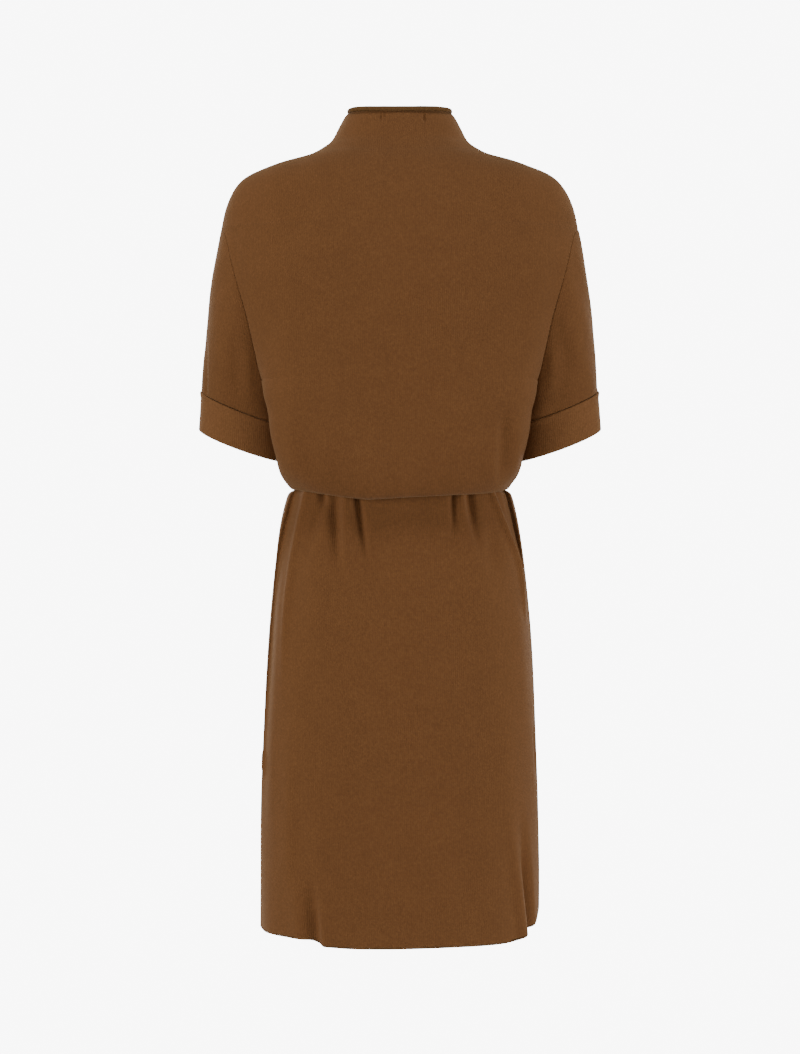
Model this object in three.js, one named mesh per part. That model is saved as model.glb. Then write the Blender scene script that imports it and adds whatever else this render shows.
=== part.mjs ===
// Short-sleeved knitted sweater dress, standing open as if worn, with no wearer inside.
// A wide back and front with a grown-on funnel neck blouse over a narrow waist channel, and a straight
// skirt hangs from the channel. The dropped shoulders carry wide sleeves, each one piece that is closed
// under the arm and ends in a turned-up cuff. A rolled edge ends the neck.
//
// Millimetres, +Z up. The back of the dress faces -Y, so the wearer's left is at -X.
// The origin is on the centre line, level with the points where the shoulder line leaves the neck:
// the shoulders of whoever wears the dress hold it up there.

import * as THREE from "three";

// Cloth and seams
const CLOTH = 2.0; // thickness of the knit
const SEAM = 0.3; // gap between two pieces that are sewn together
const THICKEST = 1.4; // how many times thicker a wall may be where it turns a corner at a seam

// How finely the walls are faceted
const PANEL_COLUMNS = 8; // across half of a back or front
const CROWDING = 0.55; // how much closer together those columns stand near the seams, from 0 to 1
const SKIRT_COLUMNS = 10; // across half of a skirt's back or front
const SLEEVE_COLUMNS = 8; // across half of a sleeve
const ROLL_SIDES = 6;
const SECTION_SAMPLES = 72; // steps used to measure along a section
const STEP = 0.002; // small step for the direction of a surface

// Neck and shoulders, from the neck's top down to the shoulder points.
// half: half width at the shoulder line. back, front: how far the cloth lies behind and in front of the
// origin at the centre line. line: how far forward the shoulder line lies. past: how far past that line
// the section would be widest. square: how square the section is, and 2 is an ellipse.
const SHOULDER = [
  { z: 44, half: 67.2, back: 46, front: 69, line: 11, past: 0, square: 2.0 },
  { z: 28, half: 76.5, back: 51, front: 75, line: 10, past: 0, square: 2.0 },
  { z: 14, half: 85, back: 57, front: 81, line: 9, past: 0, square: 2.0 },
  { z: 5, half: 96.5, back: 62, front: 85, line: 8, past: 0, square: 2.05 },
  { z: -3, half: 112, back: 67, front: 89, line: 7, past: 0, square: 2.05 },
  { z: -10, half: 134, back: 72, front: 92, line: 5, past: 0, square: 2.1 },
  { z: -17.5, half: 157, back: 77, front: 95, line: 4, past: 0, square: 2.1 },
  { z: -25, half: 176, back: 81, front: 97.5, line: 3, past: 0, square: 2.15 },
  { z: -33, half: 191, back: 85, front: 100, line: 2, past: 0, square: 2.15 },
  { z: -42, half: 201.5, back: 89, front: 102, line: 1, past: 0, square: 2.15 },
  { z: -55, half: 210, back: 94, front: 105, line: 0, past: 0.5, square: 2.13 },
  { z: -74, half: 217.5, back: 100.4, front: 108.5, line: 0, past: 1, square: 2.1 },
  { z: -97, half: 222.6, back: 106.4, front: 112.4, line: 0, past: 3, square: 2.07 },
];

// The sleeve, from the shoulder point down to the cuff's hem, and the body beside it.
// out, z: the sleeve's outermost line. across, deep: half sizes of its oval section. tilt: how far the
// section's outer end is raised, and pitch its front end, in degrees. forward: where its middle lies.
// open: half of the angle that the cloth covers, and 180 closes the tube at the underarm.
// back, front, square: the body's section, as above. turnBack, turnFront: how far behind or in front of
// the origin the body is widest. bulge: how far the body stands out past the armhole seam there.
const ARMHOLE = [
  { z: -98, out: 222.8, across: 44, deep: 49, tilt: 8, pitch: 0, forward: 0, open: 7,
    back: 106.6, front: 112.6, turnBack: -3, turnFront: -3, bulgeBack: 0, bulgeFront: 0, square: 2.07 },
  { z: -103, out: 224, across: 46, deep: 51, tilt: 9, pitch: 0, forward: 0, open: 30,
    back: 108, front: 113.9, turnBack: -10, turnFront: -14, bulgeBack: 0, bulgeFront: 0, square: 2.1 },
  { z: -114, out: 226.3, across: 48, deep: 54, tilt: 11, pitch: 0, forward: 0, open: 43,
    back: 110.8, front: 116.6, turnBack: -30, turnFront: -40, bulgeBack: 0, bulgeFront: 0, square: 2.17 },
  { z: -133, out: 229.9, across: 50, deep: 58, tilt: 13, pitch: 0, forward: 1, open: 56,
    back: 114.6, front: 121.5, turnBack: -60, turnFront: -66, bulgeBack: 0, bulgeFront: 0, square: 2.28 },
  { z: -158, out: 234.2, across: 52, deep: 61.5, tilt: 15, pitch: 1, forward: 3, open: 71,
    back: 118.2, front: 127, turnBack: -50, turnFront: -46, bulgeBack: 0, bulgeFront: 0, square: 2.35 },
  { z: -190, out: 238.6, across: 55, deep: 64, tilt: 17, pitch: 2, forward: 5, open: 87,
    back: 120.8, front: 131, turnBack: -16, turnFront: -2, bulgeBack: 0, bulgeFront: 0, square: 2.4 },
  { z: -225, out: 242.5, across: 56, deep: 65, tilt: 18, pitch: 4, forward: 8, open: 101,
    back: 122.3, front: 133.2, turnBack: 20, turnFront: 38, bulgeBack: 0, bulgeFront: 0, square: 2.45 },
  { z: -255, out: 245.5, across: 58, deep: 62, tilt: 19.5, pitch: 6, forward: 11, open: 113,
    back: 123.2, front: 133.8, turnBack: 45, turnFront: 67, bulgeBack: 1, bulgeFront: 1, square: 2.5 },
  { z: -275, out: 247.2, across: 59, deep: 57, tilt: 20.3, pitch: 7, forward: 14, open: 133,
    back: 123.8, front: 133.6, turnBack: 54, turnFront: 73, bulgeBack: 13, bulgeFront: 11, square: 2.6 },
  { z: -284, out: 248, across: 59.5, deep: 54.5, tilt: 20.7, pitch: 7.5, forward: 15, open: 157,
    back: 124, front: 133.2, turnBack: 56, turnFront: 74, bulgeBack: 22, bulgeFront: 18, square: 2.6 },
  { z: -292, out: 248.6, across: 60, deep: 52, tilt: 21, pitch: 8, forward: 16, open: 180,
    back: 124.2, front: 132.7, turnBack: 58, turnFront: 75, bulgeBack: 26.5, bulgeFront: 22, square: 2.6 },
];
const CUFF_SEAM = { z: -304, out: 249.4, across: 60.5, deep: 50, tilt: 22, pitch: 9, forward: 18, open: 180 };
const CUFF_HEM = { z: -345, out: 252.2, across: 61, deep: 48, tilt: 21, pitch: 10, forward: 21, open: 180 };

// The body below the underarm, the blouse's fold and the cloth inside it, up to the waist channel.
// side, sideLine: where the side seam lies. half: half width at its widest. sag: share of BLOUSE_SAG.
const BLOUSE = [
  { z: -350, halfBack: 159.5, halfFront: 156, back: 124.3, front: 131.5, turnBack: 59, turnFront: 74,
    side: 132.5, sideLine: 17, sag: 0 },
  { z: -366, halfBack: 156, halfFront: 153.5, back: 124.6, front: 130.5, turnBack: 58, turnFront: 71,
    side: 129.5, sideLine: 17, sag: 0 },
  { z: -382, halfBack: 151.6, halfFront: 149.5, back: 124.6, front: 129.5, turnBack: 54, turnFront: 64,
    side: 129, sideLine: 15, sag: 0 },
  { z: -394, halfBack: 149.5, halfFront: 147.5, back: 124.2, front: 128, turnBack: 46, turnFront: 52,
    side: 133, sideLine: 11, sag: 0.12 },
  { z: -403, halfBack: 147, halfFront: 145.5, back: 123.3, front: 126.3, turnBack: 36, turnFront: 39,
    side: 137, sideLine: 7, sag: 0.32 },
  { z: -410, halfBack: 143.4, halfFront: 142.4, back: 121.6, front: 124, turnBack: 25, turnFront: 26,
    side: 139, sideLine: 4, sag: 0.55 },
  { z: -416, halfBack: 139.2, halfFront: 138.4, back: 118.4, front: 120.4, turnBack: 12, turnFront: 12,
    side: 137.6, sideLine: 1, sag: 0.8 },
  { z: -420.2, halfBack: 136.2, halfFront: 135.8, back: 113.8, front: 115.6, turnBack: 4, turnFront: 4,
    side: 135.6, sideLine: 0, sag: 0.95 },
  { z: -422, halfBack: 133.4, halfFront: 133.4, back: 108.4, front: 110, turnBack: 0, turnFront: 0,
    side: 133.4, sideLine: 0, sag: 1 },
  { z: -420.2, halfBack: 130.9, halfFront: 130.9, back: 103.4, front: 104.6, turnBack: 0, turnFront: 0,
    side: 130.9, sideLine: 0, sag: 0.92 },
  { z: -415, halfBack: 130, halfFront: 130, back: 99.4, front: 100, turnBack: 0, turnFront: 0,
    side: 130, sideLine: 0, sag: 0.7 },
  { z: -406, halfBack: 129.8, halfFront: 129.8, back: 95, front: 95.2, turnBack: 0, turnFront: 0,
    side: 129.8, sideLine: 0, sag: 0.3 },
  { z: -397, halfBack: 129.8, halfFront: 129.8, back: 92, front: 92, turnBack: 0, turnFront: 0,
    side: 129.8, sideLine: 0, sag: 0 },
];
const BLOUSE_SQUARE = 2.5;
const HOLLOW = 1.6; // how flatly the body lies against the sleeve: 1 is half a cosine wave
// How far the fold hangs lower than at the sides, over the back and the front, and where it is lowest.
const BLOUSE_SAG = { back: 14, front: 9, lowestAt: -35, power: 1.3 };

// The waist channel that the blouse and the skirt are sewn to
const CHANNEL = { top: -397, bottom: -414.1, half: 128.8, back: 90.9, front: 90.9, square: 2.5 };

// The skirt, from the waist channel down to the hem
const SKIRT = [
  { z: -414.4, half: 128.6, back: 90.8, front: 90.8 },
  { z: -421, half: 129, back: 92.2, front: 91.6 },
  { z: -424.8, half: 131.6, back: 93.8, front: 92.8 },
  { z: -427.4, half: 136, back: 95.4, front: 94.4 },
  { z: -432, half: 139.6, back: 98, front: 96.4 },
  { z: -446, half: 144.4, back: 102.6, front: 99.8 },
  { z: -470, half: 149, back: 108, front: 103 },
  { z: -505, half: 154, back: 113.4, front: 106 },
  { z: -550, half: 158.8, back: 118.4, front: 109 },
  { z: -610, half: 163.8, back: 123, front: 112.4 },
  { z: -690, half: 168.3, back: 126.6, front: 115.4 },
  { z: -790, half: 171.8, back: 129.2, front: 118.2 },
  { z: -890, half: 173.3, back: 130.8, front: 119.8 },
  { z: -973, half: 173.6, back: 131.4, front: 120.4 },
];
const SKIRT_SQUARE = 2.45;
// The hem rises over the wearer's right hip and a little over the left one.
const HEM_LIFT = [
  { x: 174, y: 6, spread: 52, lift: 30 },
  { x: -172, y: -10, spread: 60, lift: 7 },
];
const HEM_LIFT_FROM = -820; // the lift fades out above this height

// The skirt's largest folds, each along a line from its top to its bottom. rise is how far the cloth
// stands out, or in if it is below 0, and grows from nothing at the end named in grows.
const SKIRT_FOLDS = [
  { side: "back", top: [-55, -424], bottom: [-34, -530], wide: 9, rise: -6.5, grows: "up" },
  { side: "back", top: [-66, -424], bottom: [-70, -530], wide: 8, rise: 4, grows: "up" },
  { side: "back", top: [70, -424], bottom: [72, -500], wide: 8, rise: -6, grows: "up" },
  { side: "back", top: [84, -424], bottom: [108, -505], wide: 8, rise: -5, grows: "up" },
  { side: "back", top: [142, -820], bottom: [166, -975], wide: 9, rise: -11, grows: "down" },
  { side: "back", top: [-108, -900], bottom: [-104, -975], wide: 10, rise: -12, grows: "down" },
  { side: "front", top: [52, -424], bottom: [40, -530], wide: 9, rise: -6, grows: "up" },
  { side: "front", top: [-76, -424], bottom: [-88, -515], wide: 9, rise: -6, grows: "up" },
  { side: "front", top: [-120, -860], bottom: [-128, -975], wide: 12, rise: -10, grows: "down" },
  { side: "front", top: [96, -880], bottom: [104, -975], wide: 12, rise: -10, grows: "down" },
];

// The rolled edge of the neck: a tube of this radius on the neck's top
const ROLL = { radius: 3, z: 46.9, half: 64, back: 42.6, front: 67, square: 2.0 };

// Colours of the knit: single cloth, the doubled cuffs, the rolled edge, and the shaded channel
const KNIT = 0x6b4524;
const CUFF_KNIT = 0x70492a;
const ROLL_KNIT = 0x6e4726;
const CHANNEL_KNIT = 0x5c3b1f;
const ROUGHNESS = 0.95;

const radians = THREE.MathUtils.degToRad;
const smooth = (x) => THREE.MathUtils.smoothstep(x, 0, 1);

// Row number `at` of a table, which may lie between two rows: each column runs through its rows as a
// smooth curve, a Catmull-Rom spline.
function rowAt(table, at) {
  const last = table.length - 1;
  const i = Math.min(Math.max(Math.floor(at), 0), last - 1);
  const f = at - i;
  const near = [i - 1, i, i + 1, i + 2].map((k) => table[Math.min(Math.max(k, 0), last)]);
  const made = {};
  for (const key of Object.keys(table[i])) {
    const [p0, p1, p2, p3] = near.map((row) => row[key]);
    const slope = p2 - p0;
    const bend = 2 * p0 - 5 * p1 + 4 * p2 - p3;
    const twist = 3 * (p1 - p2) + p3 - p0;
    made[key] = p1 + 0.5 * f * (slope + f * (bend + f * twist));
  }
  return made;
}

// Half of a horizontal section, from the centre line to the side, as points [sideways, outwards].
// A superellipse runs from (0, depth) to its widest point, where it is turn deep. The cloth is cut
// before that point, or goes on past it and curves in by bulge, so that it ends at the edge point.
function halfSection({ depth, square, turn, bulge, edge }) {
  const [edgeSide, edgeOut] = edge;
  const power = 2 / square;
  const share = Math.min(Math.max((edgeOut - turn) / (depth - turn), 0), 1);
  const lastAngle = Math.acos(Math.pow(share, 1 / power));
  const half = share > 0 ? edgeSide / Math.pow(Math.sin(lastAngle), power) : edgeSide + bulge;
  const points = [];
  for (let i = 0; i <= SECTION_SAMPLES; i++) {
    const angle = (lastAngle * i) / SECTION_SAMPLES;
    const outwards = turn + (depth - turn) * Math.pow(Math.cos(angle), power);
    points.push([half * Math.pow(Math.sin(angle), power), outwards]);
  }
  if (share === 0 && edgeOut < turn) {
    for (let i = 1; i <= SECTION_SAMPLES; i++) {
      const down = i / SECTION_SAMPLES;
      const hollow = Math.pow(0.5 + 0.5 * Math.cos(Math.PI * down), HOLLOW);
      points.push([edgeSide + bulge * hollow, turn - (turn - edgeOut) * down]);
    }
  }
  return points;
}

// The point a share `along` (0 to 1) of the way along a chain of points.
function pointAlong(points, along) {
  const lengths = [0];
  for (let i = 1; i < points.length; i++) {
    const [a, b] = [points[i - 1], points[i]];
    lengths.push(lengths[i - 1] + Math.hypot(b[0] - a[0], b[1] - a[1]));
  }
  const target = along * lengths.at(-1);
  let i = 1;
  while (i < lengths.length - 1 && lengths[i] < target) i++;
  const f = (target - lengths[i - 1]) / Math.max(lengths[i] - lengths[i - 1], 1e-9);
  return points[i - 1].map((v, k) => v + f * (points[i][k] - v));
}

// A point of the right sleeve's outer face. at: row of the table, from 0 at the shoulder point.
// around: -1 at the back armhole seam, 0 at the outermost line, 1 at the front armhole seam.
const SLEEVE_KEYS = ["z", "out", "across", "deep", "tilt", "pitch", "forward", "open"];
const SLEEVE = [...ARMHOLE, CUFF_SEAM, CUFF_HEM].map((row) =>
  Object.fromEntries(SLEEVE_KEYS.map((key) => [key, row[key]])),
);
const UNDERARM_ROW = ARMHOLE.length - 1;
const CUFF_SEAM_ROW = UNDERARM_ROW + 1;
const CUFF_HEM_ROW = CUFF_SEAM_ROW + 1;
function sleevePoint(at, around) {
  const row = rowAt(SLEEVE, at);
  const angle = radians(Math.min(row.open, 180)) * around;
  const inward = row.across * (1 - Math.cos(angle));
  const ahead = row.deep * Math.sin(angle);
  return new THREE.Vector3(
    row.out - inward * Math.cos(radians(row.tilt)),
    row.forward + ahead * Math.cos(radians(row.pitch)),
    row.z - inward * Math.sin(radians(row.tilt)) + ahead * Math.sin(radians(row.pitch)),
  );
}

// A point of the bodice's outer face. at: row, counted through the shoulder, armhole and blouse tables.
// along: -1 at the left edge, 0 at the centre line, 1 at the right edge. facing: -1 back, 1 front.
const ARMHOLE_FROM = SHOULDER.length;
const BLOUSE_FROM = ARMHOLE_FROM + ARMHOLE.length;
const BODICE_ROWS = BLOUSE_FROM + BLOUSE.length;
function bodiceSection(row, facing) {
  const side = facing < 0 ? "Back" : "Front";
  if (row < ARMHOLE_FROM) {
    const { z, half, back, front, line, past, square } = SHOULDER[row];
    return { z, sag: 0, depth: facing < 0 ? back : front, square, turn: facing * line - past, bulge: 0,
      edgeSide: half, edgeOut: facing * line };
  }
  if (row < BLOUSE_FROM) {
    const r = ARMHOLE[row - ARMHOLE_FROM];
    const edge = sleevePoint(row - ARMHOLE_FROM, facing);
    return { z: edge.z, sag: 0, depth: facing < 0 ? r.back : r.front, square: r.square,
      turn: r["turn" + side], bulge: r["bulge" + side], edgeSide: edge.x, edgeOut: facing * edge.y };
  }
  const r = BLOUSE[row - BLOUSE_FROM];
  return { z: r.z, sag: r.sag, depth: facing < 0 ? r.back : r.front, square: BLOUSE_SQUARE,
    turn: r["turn" + side], bulge: r["half" + side] - r.side, edgeSide: r.side, edgeOut: facing * r.sideLine };
}
const bodiceTables = { "-1": [], 1: [] };
for (const facing of [-1, 1]) {
  for (let row = 0; row < BODICE_ROWS; row++) bodiceTables[facing].push(bodiceSection(row, facing));
}
function bodicePoint(at, along, facing) {
  const s = rowAt(bodiceTables[facing], at);
  const [sideways, outwards] = pointAlong(
    halfSection({ ...s, bulge: Math.max(s.bulge, 0), edge: [s.edgeSide, s.edgeOut] }), Math.abs(along));
  const x = Math.sign(along) * sideways;
  const fromLowest = x - BLOUSE_SAG.lowestAt;
  const reach = s.edgeSide - Math.sign(fromLowest) * BLOUSE_SAG.lowestAt;
  const towardsSide = Math.min(Math.abs(fromLowest) / reach, 1);
  const deepest = facing < 0 ? BLOUSE_SAG.back : BLOUSE_SAG.front;
  const sag = deepest * s.sag * (1 - Math.pow(towardsSide, BLOUSE_SAG.power));
  return new THREE.Vector3(x, facing * outwards, s.z - sag);
}

// How far the skirt's folds move the cloth outwards at a point of the panel.
function foldRise(x, z, facing) {
  const side = facing < 0 ? "back" : "front";
  let rise = 0;
  for (const fold of SKIRT_FOLDS.filter((f) => f.side === side)) {
    const down = (fold.top[1] - z) / (fold.top[1] - fold.bottom[1]);
    if (down < 0 || down > 1) continue;
    const middle = fold.top[0] + down * (fold.bottom[0] - fold.top[0]);
    const strength = smooth(fold.grows === "up" ? 1 - down : down);
    rise += fold.rise * strength * Math.exp(-Math.pow((x - middle) / fold.wide, 2));
  }
  return rise;
}

function skirtPoint(at, along, facing) {
  const row = rowAt(SKIRT, at);
  const depth = facing < 0 ? row.back : row.front;
  const [sideways, outwards] = pointAlong(
    halfSection({ depth, square: SKIRT_SQUARE, turn: 0, bulge: 0, edge: [row.half, 0] }), Math.abs(along));
  const point = new THREE.Vector3(Math.sign(along) * sideways, facing * outwards, row.z);
  point.y += facing * foldRise(point.x, row.z, facing);
  const low = smooth((HEM_LIFT_FROM - row.z) / (HEM_LIFT_FROM - SKIRT.at(-1).z));
  for (const { x, y, spread, lift } of HEM_LIFT) {
    const away = Math.hypot(point.x - x, point.y - y) / spread;
    point.z += lift * low * Math.exp(-away * away);
  }
  return point;
}

// The directions of a surface at a place: down along its column, across along its row, and outward.
function directions(surface, row, column) {
  const down = surface(row + STEP, column).sub(surface(row - STEP, column)).normalize();
  const across = surface(row, column + STEP).sub(surface(row, column - STEP)).normalize();
  const outward = down.clone().cross(across).normalize();
  return { down, across, outward };
}

// How two surfaces meet at a seam. Both walls are cut along the plane between them, half a seam each
// side of it. first ends at the seam and second starts there, going anticlockwise.
function seamBetween(first, second) {
  return (row, end) => {
    const [a, b] = [directions(...first(row)), directions(...second(row))];
    const outward = a.outward.clone().add(b.outward).normalize();
    const reach = Math.min(1 / Math.max(outward.dot(a.outward), 0.1), THICKEST);
    const [surface, atRow, column] = first(row);
    const point = surface(atRow, column);
    const across = outward.clone().cross(a.down.clone().add(b.down)).normalize();
    point.addScaledVector(across, (end === "last" ? -SEAM : SEAM) / 2);
    return { point, inner: point.clone().addScaledVector(outward, -CLOTH * reach) };
  };
}

// A closed wall from a surface. rows and columns are the places where the surface is read, with columns
// running anticlockwise seen from above and rows running down, so that the outer face points out.
// seams.first and seams.last give the two points of the wall's ends, row by row, and without them it is
// a ring.
function wall(name, surface, rows, columns, seams = null, colour = KNIT) {
  const outer = [];
  const inner = [];
  for (const row of rows) {
    columns.forEach((column, i) => {
      const end = i === 0 ? "first" : "last";
      if (seams && (i === 0 || i === columns.length - 1)) {
        const sewn = seams[end](row, end);
        outer.push(sewn.point);
        inner.push(sewn.inner);
        return;
      }
      const point = surface(row, column);
      outer.push(point);
      inner.push(point.clone().addScaledVector(directions(surface, row, column).outward, -CLOTH));
    });
  }
  const ring = !seams;
  const width = columns.length;
  const steps = ring ? width : width - 1;
  const toInner = outer.length;
  const vertices = [...outer, ...inner];
  const triangles = [];
  // Each quad is split along its shorter diagonal, so that left and right are mirror images.
  const quad = (a, b, c, d) => {
    const [ac, bd] = [vertices[a].distanceTo(vertices[c]), vertices[b].distanceTo(vertices[d])];
    triangles.push(...(ac < bd ? [a, b, c, a, c, d] : [b, c, d, b, d, a]));
  };
  for (let r = 0; r + 1 < rows.length; r++) {
    for (let c = 0; c < steps; c++) {
      const next = (c + 1) % width;
      const [a, b, d, e] = [r * width + c, r * width + next, (r + 1) * width + c, (r + 1) * width + next];
      quad(a, d, e, b);
      quad(a + toInner, b + toInner, e + toInner, d + toInner);
    }
  }
  const bottom = (rows.length - 1) * width;
  for (let c = 0; c < steps; c++) {
    const next = (c + 1) % width;
    quad(c, next, next + toInner, c + toInner);
    quad(bottom + next, bottom + c, bottom + c + toInner, bottom + next + toInner);
  }
  if (!ring) {
    for (let r = 0; r + 1 < rows.length; r++) {
      const [above, below] = [r * width, (r + 1) * width];
      quad(above, above + toInner, below + toInner, below);
      const [right, rightBelow] = [above + width - 1, below + width - 1];
      quad(right, rightBelow, rightBelow + toInner, right + toInner);
    }
  }
  return piece(name, vertices, triangles, colour);
}

function piece(name, vertices, triangles, colour) {
  const numbers = vertices.flatMap((v) => v.toArray());
  const geometry = new THREE.BufferGeometry();
  geometry.setAttribute("position", new THREE.Float32BufferAttribute(numbers, 3));
  geometry.setIndex(triangles);
  geometry.computeVertexNormals();
  const knit = new THREE.MeshStandardMaterial({ color: colour, roughness: ROUGHNESS, metalness: 0 });
  const mesh = new THREE.Mesh(geometry, knit);
  mesh.name = name;
  return mesh;
}

// Even places from one value to another.
function places(from, to, count) {
  return Array.from({ length: count + 1 }, (_, i) => from + ((to - from) * i) / count);
}

// The surfaces of the body and the sleeves, each with columns running anticlockwise from -1 to 1.
const [LEFT, RIGHT] = [-1, 1];
const [BACK, FRONT] = [-1, 1];
const bodice = {};
const skirt = {};
const sleeve = {};
for (const facing of [BACK, FRONT]) {
  bodice[facing] = (row, column) => bodicePoint(row, -facing * column, facing);
  skirt[facing] = (row, column) => skirtPoint(row, -facing * column, facing);
}
for (const hand of [LEFT, RIGHT]) {
  sleeve[hand] = (row, column) => {
    const point = sleevePoint(row, hand * column);
    point.x *= hand;
    return point;
  };
}

// The piece that a back or front is sewn to on a side: the other half at the shoulder and below the
// arm, and the sleeve between them.
function bodiceSeam(facing, end) {
  const hand = (end === "last" ? 1 : -1) * -facing;
  const other = end === "last" ? -1 : 1;
  return (row) => {
    const mine = () => [bodice[facing], row, -other];
    const onSleeve = row >= ARMHOLE_FROM && row < ARMHOLE_FROM + UNDERARM_ROW;
    const theirs = onSleeve
      ? () => [sleeve[hand], row - ARMHOLE_FROM, other]
      : () => [bodice[-facing], row, other];
    const seam = end === "last" ? seamBetween(mine, theirs) : seamBetween(theirs, mine);
    const made = seam(row, end);
    if (row === ARMHOLE_FROM + UNDERARM_ROW) {
      // The sleeve's own seam starts here, so the body stops just short of it.
      for (const point of [made.point, made.inner]) point.add(new THREE.Vector3(-hand * SEAM, 0, -2 * SEAM));
    }
    return made;
  };
}

function sleeveSeam(hand, end) {
  // The sleeve starts at the back armhole on the right and at the front armhole on the left.
  const facing = (end === "first" ? BACK : FRONT) * hand;
  const other = end === "last" ? -1 : 1;
  return (row) => {
    const mine = () => [sleeve[hand], row, -other];
    const theirs = row < UNDERARM_ROW
      ? () => [bodice[facing], row + ARMHOLE_FROM, other]
      : () => [sleeve[hand], row, other];
    const seam = end === "last" ? seamBetween(mine, theirs) : seamBetween(theirs, mine);
    return seam(row, end);
  };
}

function bodicePanel(name, facing) {
  // The columns stand closer together near the seams, where the cloth bends around the sleeve.
  const crowded = (c) => (1 - CROWDING) * c + CROWDING * Math.sin((Math.PI / 2) * c);
  const columns = places(-1, 1, 2 * PANEL_COLUMNS).map(crowded);
  const rows = places(0, BODICE_ROWS - 1, BODICE_ROWS - 1);
  return wall(name, bodice[facing], rows, columns, {
    first: bodiceSeam(facing, "first"), last: bodiceSeam(facing, "last") });
}

function skirtPanel(name, facing) {
  const columns = places(-1, 1, 2 * SKIRT_COLUMNS);
  const rows = places(0, SKIRT.length - 1, SKIRT.length - 1);
  const here = (end) => (row) => [skirt[facing], row, end === "last" ? 1 : -1];
  const there = (end) => (row) => [skirt[-facing], row, end === "last" ? -1 : 1];
  return wall(name, skirt[facing], rows, columns, {
    first: seamBetween(there("first"), here("first")), last: seamBetween(here("last"), there("last")) });
}

function sleevePanel(name, hand) {
  const columns = places(-1, 1, 2 * SLEEVE_COLUMNS);
  const rows = places(0, CUFF_SEAM_ROW, CUFF_SEAM_ROW);
  return wall(name, sleeve[hand], rows, columns, {
    first: sleeveSeam(hand, "first"), last: sleeveSeam(hand, "last") });
}

function cuff(name, hand) {
  const gap = (2 * SEAM) / (CUFF_SEAM.z - CUFF_HEM.z); // the seam as a share of the cuff's height
  const columns = places(-1, 1, 2 * SLEEVE_COLUMNS).slice(0, -1);
  return wall(name, sleeve[hand], [CUFF_SEAM_ROW + gap, CUFF_HEM_ROW], columns, null, CUFF_KNIT);
}

// A point of a closed oval: turn 0 to 1 runs anticlockwise from the left side over the back.
function ovalPoint(size, turn, out = 0) {
  const angle = Math.PI * (1 + 2 * turn);
  const power = 2 / size.square;
  const depth = Math.sin(angle) < 0 ? size.back : size.front;
  const bend = (v) => Math.sign(v) * Math.pow(Math.abs(v), power);
  return [(size.half + out) * bend(Math.cos(angle)), (depth + out) * bend(Math.sin(angle))];
}

function waistChannel(name) {
  const columns = places(0, 1, 4 * PANEL_COLUMNS).slice(0, -1);
  const height = CHANNEL.bottom - CHANNEL.top;
  const surface = (down, turn) => new THREE.Vector3(...ovalPoint(CHANNEL, turn), CHANNEL.top + down * height);
  return wall(name, surface, [0, 1], columns, null, CHANNEL_KNIT);
}

function neckRoll(name) {
  const steps = 4 * PANEL_COLUMNS;
  const vertices = [];
  const triangles = [];
  for (let i = 0; i < steps; i++) {
    for (let j = 0; j < ROLL_SIDES; j++) {
      const angle = (2 * Math.PI * j) / ROLL_SIDES;
      const out = ROLL.radius * Math.cos(angle);
      const z = ROLL.z + ROLL.radius * Math.sin(angle);
      vertices.push(new THREE.Vector3(...ovalPoint(ROLL, i / steps, out), z));
      const [here, ahead] = [i * ROLL_SIDES, ((i + 1) % steps) * ROLL_SIDES];
      const up = (j + 1) % ROLL_SIDES;
      triangles.push(here + j, ahead + j, ahead + up, here + j, ahead + up, here + up);
    }
  }
  return piece(name, vertices, triangles, ROLL_KNIT);
}

const dress = new THREE.Group();
dress.add(
  neckRoll("neck_roll"),
  bodicePanel("bodice_back", BACK),
  bodicePanel("bodice_front", FRONT),
  sleevePanel("sleeve_left", LEFT),
  sleevePanel("sleeve_right", RIGHT),
  cuff("cuff_left", LEFT),
  cuff("cuff_right", RIGHT),
  waistChannel("waist_channel"),
  skirtPanel("skirt_back", BACK),
  skirtPanel("skirt_front", FRONT),
);

export default dress;
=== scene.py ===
"""A short-sleeved knitted sweater dress, seen from the back as if worn, with nobody inside.

Each piece that is sewn is a closed thin shell of cloth, worked out with numpy from named sizes in
millimetres: a back and a front with a grown-on funnel neck, two sleeves, two cuffs, the rolled edge of
the neck, a narrow waist channel, and a skirt's back and front. The back of the dress faces -Y, the
wearer's left is at -X, and +Z is up.
"""

import logging
import math
from dataclasses import dataclass, field
from enum import Enum
from typing import Any

import bpy
import numpy as np
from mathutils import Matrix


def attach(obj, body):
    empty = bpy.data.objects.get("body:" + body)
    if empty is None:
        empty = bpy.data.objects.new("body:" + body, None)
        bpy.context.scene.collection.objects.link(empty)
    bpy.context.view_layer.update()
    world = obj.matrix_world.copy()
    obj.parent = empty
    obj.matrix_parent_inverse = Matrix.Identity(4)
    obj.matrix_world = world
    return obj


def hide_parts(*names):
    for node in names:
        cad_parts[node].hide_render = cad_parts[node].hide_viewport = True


Array = np.ndarray

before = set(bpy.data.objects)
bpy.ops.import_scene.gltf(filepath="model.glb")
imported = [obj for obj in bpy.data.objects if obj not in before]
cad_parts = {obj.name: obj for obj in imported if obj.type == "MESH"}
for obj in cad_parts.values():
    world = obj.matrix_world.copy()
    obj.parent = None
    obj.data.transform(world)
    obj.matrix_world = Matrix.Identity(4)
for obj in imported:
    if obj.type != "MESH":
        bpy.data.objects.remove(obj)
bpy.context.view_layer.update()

LOG = logging.getLogger("sweater_dress")
MILLIMETRE = 0.001
SEED = 11

# Cloth and seams, in millimetres
CLOTH = 2.0
SEAM_GAP = 0.0005  # sewn edges all but touch
SECTION_SAMPLES = 240
SEAM_CALM = 14.0  # folds fade out this close to a seam
EDGE_LEFT = 0.25  # share of a wall's thickness that is left at its rounded edge
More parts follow.
